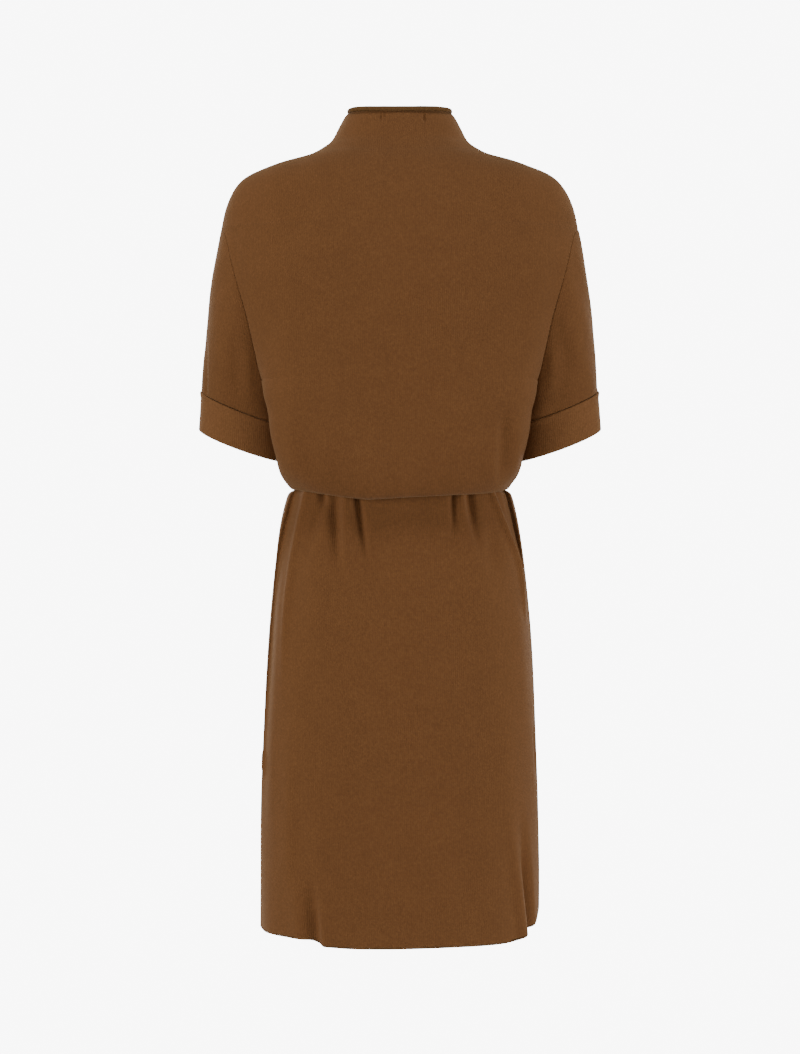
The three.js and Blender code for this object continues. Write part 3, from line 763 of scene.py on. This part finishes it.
@dataclass
class Bodice:
    """The back and front of the body, with the funnel neck, the shoulders and the blouse's fold."""

    columns: int = 84
    crowding: float = 0.3
    step: float = 2.7
    fold_step: float = 1.4
    undulation: Undulation = Undulation()
    sag_back: float = 14.0
    sag_front: float = 9.0
    lowest_at: float = -35.0
    neck_lift: float = 3.6
    neck_tuck: float = 3.2
    neck_rise: float = 2.0
    neck_half: float = 66.0
    neck_rows: float = 2.4
    tuck_rows: float = 0.4
    ease_side: float = 9.0
    ease_passes: int = 70
    armhole_from: int = 13
    blouse_from: int = 24
    creases_back: tuple[Crease, ...] = creases(
        (127, -316, 122, -428, -4.6, 9.0, Fade.BOTH, 0.35, 0.0, 0.25),
        (145, -312, 139, -418, 1.6, 8.0),
        (-132, -300, -130, -420, 1.6, 9.0),
        (-112, -330, -104, -430, -1.2, 9.0),
        (96, -350, 104, -430, 1.1, 12.0),
        (-40, -360, -34, -434, 1.0, 16.0, Fade.START),
        (20, -370, 28, -432, -1.0, 14.0, Fade.START),
        (-22.6, 43, -22.6, 30, -3.0, 1.3),
        (-18.2, 43, -18.4, 32, -2.6, 1.2),
        (30.2, 44, 30.2, 29, -3.8, 1.5),
        (-86, -40, -150, -150, -1.0, 14.0),
        (92, -44, 150, -150, -1.0, 14.0),
    )
    creases_front: tuple[Crease, ...] = creases(
        (-128, -318, -134, -402, -2.6, 5.0),
        (120, -322, 128, -404, -2.6, 5.0),
        (-60, -350, -52, -424, 1.2, 14.0, Fade.START),
        (36, -350, 30, -424, 1.2, 16.0, Fade.START),
        (-90, -46, -150, -160, -1.2, 14.0),
        (90, -46, 150, -160, -1.2, 14.0),
    )

    def table(self, facing: Facing) -> Table:
        """The sections of a side of the body, from the neck to the waist channel.

        Args:
            facing: The back or the front.

        Returns:
            A table of z, sag, depth, square, turn, bulge, edge_side and edge_out.
        """
        side = facing.name.lower()
        neck, arm, low = SHOULDER.columns, ARMHOLE.columns, BLOUSE.columns
        zero = np.zeros(SHOULDER.last + 1)
        edge = sleeve_surface(np.arange(ARMHOLE.last + 1.0), np.array([float(facing.value)]), Hand.RIGHT)
        edge = edge[:, 0]
        parts = [
            (neck["z"], zero, neck[side], neck["square"], facing.value * neck["line"] - neck["past"],
             zero, neck["half"], facing.value * neck["line"]),
            (edge[:, 2], 0 * edge[:, 2], arm[side], arm["square"], arm["turn_" + side],
             arm["bulge_" + side], edge[:, 0], facing.value * edge[:, 1]),
            (low["z"], low["sag"], low[side], 0 * low["z"] + BLOUSE_SQUARE, low["turn_" + side],
             low["half_" + side] - low["side"], low["side"], facing.value * low["side_line"]),
        ]
        rows = np.vstack([np.stack(part, axis=1) for part in parts])
        return Table("z sag depth square turn bulge edge_side edge_out", *rows)

    def rows(self) -> Array:
        """Row numbers: a step apart down the cloth, and closer together in the blouse's fold."""
        section = self.table(Facing.BACK).columns
        down = np.hypot(np.diff(section["z"]), np.diff(section["depth"]))
        aside = np.hypot(np.diff(section["z"]), np.diff(section["edge_side"]))
        step = np.where(np.arange(len(down)) >= self.blouse_from + 2, self.fold_step, self.step)
        return edged(stepped(np.maximum(down, aside), step), *EDGE_ROWS)

    def sag(self, x: Array, row: dict[str, Array], facing: Facing) -> Array:
        """How far the blouse hangs below its sides.

        Left of its lowest point it rises with the power 1.3 of the share of the way to the side. Right
        of it the back rises quickly at first, then slowly, and drops off at the side.

        Args:
            x: Places across.
            row: The table's values, rows by 1.
            facing: The back or the front.

        Returns:
            How far the cloth is lowered.
        """
        away = x - self.lowest_at
        reach = row["edge_side"] - np.sign(away) * self.lowest_at
        share = np.clip(np.abs(away) / reach, 0, 1)
        even = 1 - share**1.3
        if facing is Facing.FRONT:
            return self.sag_front * row["sag"] * even
        slow = (1 - 0.62 * share**0.8) * (1 - share**12)
        return self.sag_back * row["sag"] * np.where(away < 0, even, slow)

    def cloth(self, facing: Facing, rows: Array) -> Cloth:
        """The outer face of the back or the front.

        Args:
            facing: The back or the front.
            rows: Row numbers.

        Returns:
            The cloth, with its folds.
        """
        row = self.table(facing).at(rows)
        on_arm = (rows >= self.armhole_from) & (rows <= self.armhole_from + UNDERARM_ROW)
        seam = np.array([float(facing.value)])
        edge = sleeve_surface(rows[on_arm] - self.armhole_from, seam, Hand.RIGHT)
        row["edge_side"][on_arm] = edge[:, 0, 0]
        row["edge_out"][on_arm] = facing.value * edge[:, 0, 1]
        row["z"][on_arm] = edge[:, 0, 2]
        even = np.linspace(-1, 1, 2 * self.columns + 1)
        crowded = (1 - self.crowding) * even + self.crowding * np.sin(math.pi / 2 * even)
        column = edged(crowded, *EDGE_COLUMNS)
        along = -facing.value * column
        names = ("depth", "square", "turn", "bulge", "edge_side", "edge_out")
        sections = half_sections(*(row[name] for name in names))
        flat, length = along_sections(sections, np.abs(along))
        x = np.sign(along) * flat[..., 0]
        held = {name: values[:, None] for name, values in row.items()}
        z = held["z"] - self.sag(x, held, facing)
        points = np.stack([x, facing.value * flat[..., 1], z], axis=-1)
        aside = np.minimum(np.abs(x) / self.neck_half, 1) ** 2
        points[..., 2] += self.neck_lift * (1 - smooth(rows / self.neck_rows))[:, None] * aside
        tuck = (1 - smooth(rows / self.tuck_rows))[:, None, None]
        points = points - tuck * self.neck_tuck * unit(points * [1, 1, 0]) + tuck * [0, 0, self.neck_rise]
        made = Cloth(points, length[:, None] * column[None])
        underarm = smooth(1.4 - np.abs(rows - self.blouse_from + 1) / 2)[:, None]
        made.ease(underarm * smooth(made.from_sides() / self.ease_side), self.ease_passes)
        self.fold(made, facing, rows)
        return made

    def fold(self, cloth: Cloth, facing: Facing, rows: Array) -> None:
        """Puts the creases and the unevenness into a cloth.

        Args:
            cloth: The cloth, which is changed.
            facing: The back or the front.
            rows: Its row numbers.
        """
        x, z = cloth.points[..., 0], cloth.points[..., 2]
        lines = self.creases_back if facing is Facing.BACK else self.creases_front
        height = relief(lines, x, z)
        height = height + self.undulation.over(cloth.across, cloth.down(), SEED + facing.value)
        calm = smooth(cloth.from_sides() / SEAM_CALM)
        fold_from = BLOUSE.last + self.blouse_from - 4
        free = smooth(rows / 0.8)[:, None] * smooth((fold_from - rows) / 2)[:, None]
        cloth.raise_by(height * calm * free)


@dataclass
class Sleeves:
    """The two dropped-shoulder sleeves, each one piece that is closed under the arm, and their cuffs."""

    columns: int = 72
    lower_rows: int = 16
    cuff_rows: int = 25
    cuff_wall: float = 2.4
    cuff_half: float = 175.0
    ridge: float = 1.3
    unevenness: float = 0.5
    undulation: Undulation = Undulation(0.6, 40, 110)
    creases: dict[Hand, tuple[Crease, ...]] = field(
        default_factory=lambda: {
            Hand.LEFT: creases(
                (-240.5, -225, -242, -340, -2.2, 2.9, Fade.START, 0.25, 0.0, -0.3),
                (-222, -170, -226, -300, 1.0, 9.0),
                (-204, -215, -200, -318, -1.4, 8.0),
                (-186, -240, -184, -322, 1.0, 7.0),
            ),
            Hand.RIGHT: creases(
                (222, -180, 226, -300, 0.9, 10.0),
                (205, -215, 200, -318, -1.2, 9.0),
                (188, -240, 184, -322, 1.0, 7.0),
            ),
        }
    )

    def places(self, bodice_rows: Array, armhole_from: int) -> Array:
        """Row numbers of the sleeve: those of the bodice beside it, and then on to the cuff's seam."""
        beside = (bodice_rows >= armhole_from) & (bodice_rows <= armhole_from + UNDERARM_ROW)
        lower = edged(np.linspace(UNDERARM_ROW, CUFF_SEAM_ROW, self.lower_rows), 0.01, 0.03)[3:]
        return np.concatenate([bodice_rows[beside] - armhole_from, lower])

    def sleeve(self, hand: Hand, places: Array) -> Cloth:
        """The outer face of a sleeve, from the armhole to the cuff's seam.

        Args:
            hand: Which arm.
            places: Row numbers.

        Returns:
            The cloth, with its folds.
        """
        column = edged(np.linspace(-1, 1, 2 * self.columns + 1), 0.0022, 0.0075)
        points = sleeve_surface(places, hand.value * column, hand)
        row = SLEEVE.at(places)
        radius = np.sqrt(row["across"] * row["deep"])
        across = (radius * np.radians(np.minimum(row["open"], 180)))[:, None] * column[None]
        made = Cloth(points, across)
        x, y, z = np.moveaxis(made.points, -1, 0)
        behind = smooth(0.5 - (y - row["forward"][:, None]) / 20)
        height = relief(self.creases[hand], x, z) * behind
        height = height + self.undulation.over(across, made.down(), SEED + 20 + hand.value)
        calm = smooth(made.from_sides() / SEAM_CALM)
        ends = smooth((CUFF_SEAM_ROW + 0.2 - places) / 0.9)[:, None]
        made.raise_by(height * calm * ends)
        return made

    def cuff(self, hand: Hand) -> Cloth:
        """The outer face of a cuff: a doubled band that stands out a little just under its seam."""
        gap = 2 * SEAM_GAP / 8
        places = edged(np.linspace(CUFF_SEAM_ROW + gap, CUFF_HEM_ROW, self.cuff_rows), 0.03, 0.09)
        column = np.linspace(-1, 1, 2 * self.columns + 1)[:-1]
        points = sleeve_surface(places, hand.value * column, hand)
        across = self.cuff_half * np.broadcast_to(column, points.shape[:2])
        made = Cloth(points, across, ring=True)
        down = made.down()
        ridge = self.ridge * smooth(down / 1.2) * (1 - smooth((down - 1.4) / 8))
        waves = self.unevenness * np.sin(across / 23 + 1.1) * np.sin(across / 57 + hand.value)
        made.raise_by(ridge + waves * smooth(down / 30))
        return made


@dataclass
class NeckRoll:
    """The rolled edge of the neck: a strip whose free edge has curled over to the outside."""

    half: float = 62.0
    back: float = 44.2
    front: float = 67.6
    z: float = 46.0
    lift: float = 3.6
    radius: float = 3.7
    wall: float = 1.5
    around: int = 300
    turn_from: float = -75.0
    turn_to: float = 225.0
    sides: int = 22
    flat_radius: float = 58.0

    def cloth(self) -> Cloth:
        """The outer face of the roll.

        The middle line is an ellipse that is deeper in front. Across it the strip follows a circle from
        the inside of the neck, over the top, to the outside and under, and its height and radius vary a
        little along the neck.

        Returns:
            The cloth, a ring.
        """
        turn = np.linspace(0, 2 * math.pi, self.around, endpoint=False) + math.pi
        deep = np.where(np.sin(turn) < 0, self.back, self.front)
        waver = 0.16 * np.sin(turn * 5 + 0.6) + 0.05 * np.sin(turn * 17 + 2.0)
        radius = self.radius * (0.98 + 0.02 * np.sin(turn * 7 + 1.0))
        angle = np.radians(np.linspace(180 - self.turn_from, 180 - self.turn_to, self.sides + 1))
        angle = angle[:, None]
        out = radius[None] * np.cos(angle)
        z = self.z + self.lift * np.cos(turn) ** 2 + waver[None] + radius[None] * np.sin(angle)
        x = (self.half + out) * np.cos(turn)[None]
        y = (deep[None] + out) * np.sin(turn)[None]
        points = np.stack([x, y, z], axis=-1)
        across = np.broadcast_to(turn[None] * self.flat_radius, x.shape)
        return Cloth(points, across, ring=True)


@dataclass
class WaistChannel:
    """The narrow channel that draws the waist in, hidden under the blouse."""

    top: float = -397.0
    bottom: float = -414.1
    half: float = 128.8
    depth: float = 90.9
    square: float = 2.5
    around: int = 360
    down: int = 13
    flat_radius: float = 112.0

    def cloth(self) -> Cloth:
        """The outer face: a superellipse carried straight down."""
        turn = np.linspace(0, 2 * math.pi, self.around, endpoint=False) + math.pi
        down = edged(np.linspace(0, 1, self.down), 0.02, 0.05)[:, None]
        power = 2 / self.square
        x = self.half * np.sign(np.cos(turn)) * np.abs(np.cos(turn)) ** power
        y = self.depth * np.sign(np.sin(turn)) * np.abs(np.sin(turn)) ** power
        z = self.top + (self.bottom - self.top) * down
        grid = np.broadcast_arrays(x[None], y[None], z)
        length = self.flat_radius * turn
        return Cloth(np.stack(grid, axis=-1), np.broadcast_to(length, grid[0].shape), ring=True)


@dataclass
class Skirt:
    """The straight skirt's back and front, from the waist channel to the hem."""

    columns: int = 96
    step: float = 2.7
    undulation: Undulation = Undulation(0.9, 60, 190, 9, 0.22)
    lift_from: float = -820.0
    lifts: tuple[tuple[float, float, float, float], ...] = ((174, 6, 52, 35), (150, -62, 26, 5))
    left_lift: float = 7.0
    middle_drop: float = 2.0
    creases_back: tuple[Crease, ...] = creases(
        (-54, -428, -33, -545, -7.5, 5.4, Fade.END, 0.95),
        (-64, -428, -66, -545, 4.4, 6.4, Fade.END, 0.9),
        (-79, -428, -73, -552, -6.0, 7.6, Fade.END, 0.8),
        (-95, -424, -93, -450, -5.0, 4.5, Fade.END, 0.8),
        (67, -428, 65, -505, -6.0, 5.4, Fade.END, 0.9),
        (74, -428, 80, -475, 3.6, 4.6, Fade.END, 0.9),
        (84, -428, 104, -520, -6.0, 5.6, Fade.END, 0.9, -2),
        (110, -436, 116, -550, -6.5, 13.0, Fade.BOTH, 0.6),
        (-106, -880, -100, -978, -8.0, 8.0, Fade.START, 0.9, 0.0, -0.3),
        (-134, -700, -134, -960, 2.2, 9.0, Fade.BOTH, 0.4),
        (-122, -890, -120, -978, 3.0, 12.0, Fade.START),
        (-60, -780, -58, -975, 1.6, 24.0, Fade.START),
        (40, -800, 46, -975, 1.4, 26.0, Fade.START),
    )
    creases_left: tuple[Crease, ...] = creases(
        (70, -424, 88, -700, 3.4, 7.0, Fade.END, 0.6),
        (96, -424, 100, -540, -3.0, 9.0, Fade.END, 0.8),
        (40, -735, 42, -780, 3.0, 4.0),
    )
    creases_right: tuple[Crease, ...] = creases(
        (74, -424, 48, -512, 5.0, 4.5, Fade.NEITHER, 0.35, 4),
        (48, -512, 44, -600, 5.0, 4.5, Fade.END, 0.9),
        (90, -800, 60, -985, -13.0, 8.5, Fade.START, 0.8),
        (114, -780, 83, -985, 4.5, 9.0, Fade.START, 0.8),
        (36, -700, 36, -790, -3.0, 7.0),
    )
    tucks: dict[Hand, tuple[Crease, ...]] = field(
        default_factory=lambda: {
            Hand.LEFT: creases(
                (26, -420, 26, -880, 6.4, 9.0, Fade.END, 0.5),
                (48, -420, 49, -880, -9.8, 11.0, Fade.END, 0.5),
            ),
            Hand.RIGHT: creases(
                (25, -420, 25, -560, 7.0, 7.0, Fade.END, 0.7),
                (41, -420, 38, -560, -10.0, 8.0, Fade.END, 0.7),
            ),
        }
    )
    creases_front: tuple[Crease, ...] = creases(
        (52, -424, 40, -530, -6, 8.0, Fade.END, 0.9),
        (-76, -424, -88, -515, -6, 8.0, Fade.END, 0.9),
        (8, -430, 10, -560, 2.5, 9.0, Fade.END, 0.9),
        (-120, -860, -128, -975, -9, 12.0, Fade.START),
        (96, -880, 104, -975, -9, 12.0, Fade.START),
        (-20, -840, -16, -975, 3, 30.0, Fade.START),
    )

    def rows(self) -> Array:
        """Row numbers, a step apart down the cloth."""
        column = SKIRT.columns
        lengths = np.hypot(np.diff(column["z"]), np.diff(column["half"]))
        return edged(stepped(lengths, self.step), *EDGE_ROWS)

    def cloth(self, facing: Facing, rows: Array) -> Cloth:
        """The outer face of the skirt's back or front.

        Args:
            facing: The back or the front.
            rows: Row numbers.

        Returns:
            The cloth, with its folds and its lifted hem.
        """
        row = SKIRT.at(rows)
        zero = np.zeros_like(rows)
        column = edged(np.linspace(-1, 1, 2 * self.columns + 1), *EDGE_COLUMNS)
        along = -facing.value * column
        depth = row[facing.name.lower()]
        sections = half_sections(depth, zero + SKIRT_SQUARE, zero, zero, row["half"], zero)
        flat, length = along_sections(sections, np.abs(along))
        x = np.sign(along) * flat[..., 0]
        y = facing.value * flat[..., 1]
        z = np.broadcast_to(row["z"][:, None], x.shape)
        low = smooth((self.lift_from - z) / (self.lift_from - SKIRT.columns["z"][-1]))
        lift = sum(
            rise * low * np.exp(-((x - at_x) ** 2 + (y - at_y) ** 2) / spread**2)
            for at_x, at_y, spread, rise in self.lifts
        )
        if facing is Facing.BACK:
            aside = 1 - smooth((x + 110) / 19)
            middle = smooth(1.1 - np.abs(x + 30) / 100)
            lift = lift + low * (self.left_lift * aside - self.middle_drop * middle)
        else:
            lift = lift + low * self.left_lift * (1 - smooth((x + 164) / 70))
        made = Cloth(np.stack([x, y, z + lift], axis=-1), length[:, None] * column[None])
        lines = self.creases_back if facing is Facing.BACK else self.creases_front
        height = relief(lines, x, z)
        if facing is Facing.BACK:
            from_seam = length[:, None] * (1 - np.abs(column))[None]
            left = relief(self.creases_left, from_seam, z)
            right = relief(self.creases_right, from_seam, z)
            height = height + np.where(x < 0, left, right)
        height = height + self.undulation.over(made.across, made.down(), SEED + 40 + facing.value)
        calm = smooth(made.from_sides() / SEAM_CALM)
        free = smooth(rows / 3)[:, None]
        made.raise_by(height * calm * free)
        if facing is Facing.BACK:
            left, right = (relief(self.tucks[hand], from_seam, z) for hand in Hand)
            made.points[..., 1] -= np.where(x < 0, left, right) * calm * free
            made.face()
        return made


class Dress:
    """The whole dress: it builds the pieces, joins their seams and dresses them."""

    def __init__(self) -> None:
        """Sets up the sub-assemblies and the finishes."""
        self.bodice = Bodice()
        self.sleeves = Sleeves()
        self.skirt = Skirt()
        self.knit = KnitFinish("fine_gauge_melange_knit").material()
        # The cuffs' knit is a lighter copy of the body's knit: painted light for the extra light that the
        # cuffs catch at the sides.
        self.cuff_knit = KnitFinish(
            "doubled_cuff_knit_with_painted_light", dark=0x6B4626, base=0x734C2A, light=0x7B5330, wale=2.5
        ).material()
        # The rolled edge's knit is a darker, more olive copy of the body's knit: painted shade on the
        # roll.
        self.roll_knit = KnitFinish(
            "rolled_edge_knit_with_painted_shade", dark=0x5A3D1D, base=0x624422, light=0x6B4C28, sheen=0.12, turned=True
        ).material()
        self.channel_knit = KnitFinish(
            "elastic_channel_knit", dark=0x523217, base=0x5E3B1E, light=0x6B4527, course=1.6
        ).material()

    def upper(self) -> None:
        """Builds the bodice, the sleeves and the cuffs, with their shared seams."""
        rows = self.bodice.rows()
        places = self.sleeves.places(rows, self.bodice.armhole_from)
        body = {facing: self.bodice.cloth(facing, rows) for facing in Facing}
        arm = {hand: self.sleeves.sleeve(hand, places) for hand in Hand}
        for cloth in (*body.values(), *arm.values()):
            cloth.part_seams()
        first = int(np.searchsorted(rows, self.bodice.armhole_from))
        last = int(np.searchsorted(rows, self.bodice.armhole_from + UNDERARM_ROW))
        beside = slice(first, last + 1)
        for hand in Hand:
            back_end = 0 if hand is Hand.LEFT else -1
            front_end = -1 - back_end
            for span in (slice(0, first), slice(last + 1, len(rows))):
                share_normals((body[Facing.BACK], span, back_end), (body[Facing.FRONT], span, front_end))
            arm_rows = slice(0, last + 1 - first)
            share_normals((body[Facing.BACK], beside, back_end), (arm[hand], arm_rows, front_end))
            share_normals((body[Facing.FRONT], beside, front_end), (arm[hand], arm_rows, back_end))
            under = slice(last + 1 - first, len(places))
            share_normals((arm[hand], under, 0), (arm[hand], under, -1))
        for facing, area in ((Facing.BACK, 0.243), (Facing.FRONT, 0.25)):
            side = facing.name.lower()
            piece = shell_mesh(f"knit_{side}", body[facing])
            dress_cloth(piece, self.knit, f"bodice_{side}")
        for hand in Hand:
            side = hand.name.lower()
            piece = shell_mesh(f"sleeve_knit_{side}", arm[hand])
            dress_cloth(piece, self.knit, f"sleeve_{side}")
            piece = shell_mesh(f"cuff_knit_{side}", self.sleeves.cuff(hand), self.sleeves.cuff_wall)
            dress_cloth(piece, self.cuff_knit, f"cuff_{side}")

    def neck(self) -> None:
        """Builds the rolled edge of the neck."""
        roll = NeckRoll()
        piece = shell_mesh("rolled_neck_edge", roll.cloth(), roll.wall)
        dress_cloth(piece, self.roll_knit, "neck_roll")

    def waist(self) -> None:
        """Builds the waist channel."""
        piece = shell_mesh("waist_elastic_channel", WaistChannel().cloth())
        dress_cloth(piece, self.channel_knit, "waist_channel")

    def lower(self) -> None:
        """Builds the skirt, with its shared side seams."""
        rows = self.skirt.rows()
        body = {facing: self.skirt.cloth(facing, rows) for facing in Facing}
        for cloth in body.values():
            cloth.part_seams()
        whole = slice(0, len(rows))
        share_normals((body[Facing.BACK], whole, 0), (body[Facing.FRONT], whole, -1))
        share_normals((body[Facing.BACK], whole, -1), (body[Facing.FRONT], whole, 0))
        for facing in Facing:
            side = facing.name.lower()
            piece = shell_mesh(f"skirt_knit_{side}", body[facing])
            dress_cloth(piece, self.knit, f"skirt_{side}")

    def build(self) -> None:
        """Builds every piece."""
        self.upper()
        self.neck()
        self.waist()
        self.lower()


@dataclass
class Studio:
    """A pale floor, soft lights, a pale surround and the camera."""

    distance: float = 3.2
    height: float = -0.46875
    lens: float = 87.55
    floor: float = -1.42
    surround: float = 8.6
    ambient: float = 0.03
    floor_glow: float = 0.86
    floor_sides: int = 96
    floor_radii: tuple[float, ...] = (0.0, 350.0, 700.0)
    aim: tuple[float, float, float] = (0.0, 0.0, -0.5)
    lights: tuple[tuple[Any, ...], ...] = (
        ("left", (-2.52, -1.22, -0.45), 1.1, 56.0),
        ("right", (2.66, -0.9, -0.7), 1.1, 62.0),
        ("fill", (-0.2, -2.1, -0.35), 1.0, 14.0),
        ("top", (0.0, -0.8, 2.2), 1.1, 34.0),
        ("front_left", (-1.7, 3.2, 0.2), 1.1, 62.0),
        ("front_right", (1.7, 3.2, -0.2), 1.1, 54.0),
    )

    def camera(self) -> None:
        """Looks level at the back of the dress from 3.2 m."""
        data = bpy.data.cameras.new("camera")
        data.lens = self.lens
        data.sensor_width = 36.0
        made = bpy.data.objects.new("camera", data)
        made.location = (0.0004, -self.distance, self.height)
        made.rotation_euler = (math.pi / 2, 0, 0)
        bpy.context.collection.objects.link(made)
        bpy.context.scene.camera = made

    def light(self, name: str, place: tuple[float, float, float], size: float, power: float) -> None:
        """A square soft light aimed at the middle of the dress.

        Args:
            name: Its name.
            place: Where it hangs, in metres.
            size: Its side in metres.
            power: Its power in watts.
        """
        data = bpy.data.lights.new(name, "AREA")
        data.size = size
        data.energy = power
        made = bpy.data.objects.new(name, data)
        aim = np.subtract(self.aim, place)
        flat = math.hypot(aim[0], aim[1])
        made.location = place
        made.rotation_euler = (math.pi / 2 - math.atan2(-aim[2], flat), 0, math.atan2(-aim[0], aim[1]))
        made.visible_camera = False
        bpy.context.collection.objects.link(made)

    def world(self) -> None:
        """Shows the pale surround to the camera and lights the dress a little from all round."""
        world = bpy.data.worlds.new("surround")
        world.use_nodes = True
        tree = world.node_tree
        tree.nodes.clear()
        seen = add_node(tree, "ShaderNodeLightPath", {}, {}).outputs["Is Camera Ray"]
        soft, pale = (
            add_node(tree, "ShaderNodeBackground", {}, {"Color": (1, 1, 1, 1), "Strength": strength})
            for strength in (self.ambient, self.surround)
        )
        inputs = {0: seen, 1: soft.outputs[0], 2: pale.outputs[0]}
        both = add_node(tree, "ShaderNodeMixShader", {}, inputs)
        add_node(tree, "ShaderNodeOutputWorld", {}, {"Surface": both.outputs[0]})
        bpy.context.scene.world = world

    def ground(self) -> None:
        """A round matt floor under the dress, which glows to the camera as the surround does."""
        angle = np.linspace(0, 2 * math.pi, self.floor_sides, endpoint=False)
        radius = np.array(self.floor_radii)[:, None]
        x, y = radius * np.cos(angle), radius * np.sin(angle)
        points = np.stack([x, y, np.full_like(x, self.floor * 1000)], axis=-1).reshape(-1, 3)
        index = np.arange(x.size).reshape(x.shape)
        ahead = np.roll(index, -1, axis=1)
        faces = np.stack([index[:-1], index[1:], ahead[1:], ahead[:-1]], -1).reshape(-1, 4)
        floor = mesh_object("floor", points, faces, points[:, :2])
        paint = bpy.data.materials.new("matt_floor_paint")
        paint.use_nodes = True
        tree = paint.node_tree
        tree.nodes.clear()
        ramp = add_node(tree, "ShaderNodeValToRGB", {}, {"Fac": Noise(3.0, 2.0).add(tree)})
        ramp.color_ramp.elements[0].color = linear(0xECECEA)
        ramp.color_ramp.elements[1].color = linear(0xF2F2F0)
        seen = add_node(tree, "ShaderNodeLightPath", {}, {}).outputs["Is Camera Ray"]
        inputs = {0: seen, 1: self.floor_glow * self.surround}
        glow = add_node(tree, "ShaderNodeMath", {"operation": "MULTIPLY"}, inputs).outputs[0]
        matt = add_node(
            tree,
            "ShaderNodeBsdfPrincipled",
            {},
            {
                "Base Color": ramp.outputs["Color"],
                "Roughness": 0.9,
                "Emission Color": (1, 1, 1, 1),
                "Emission Strength": glow,
            },
        )
        add_node(tree, "ShaderNodeOutputMaterial", {}, {"Surface": matt.outputs[0]})
        floor.data.materials.append(paint)

    def build(self) -> None:
        """Sets up the whole studio."""
        self.camera()
        for light in self.lights:
            self.light(*light)
        self.world()
        self.ground()


def main() -> None:
    """Builds the dress and the studio, in order."""
    logging.basicConfig(level=logging.INFO, format="%(name)s: %(message)s")
    Dress().build()
    Studio().build()


if __name__ == "__main__":
    main()
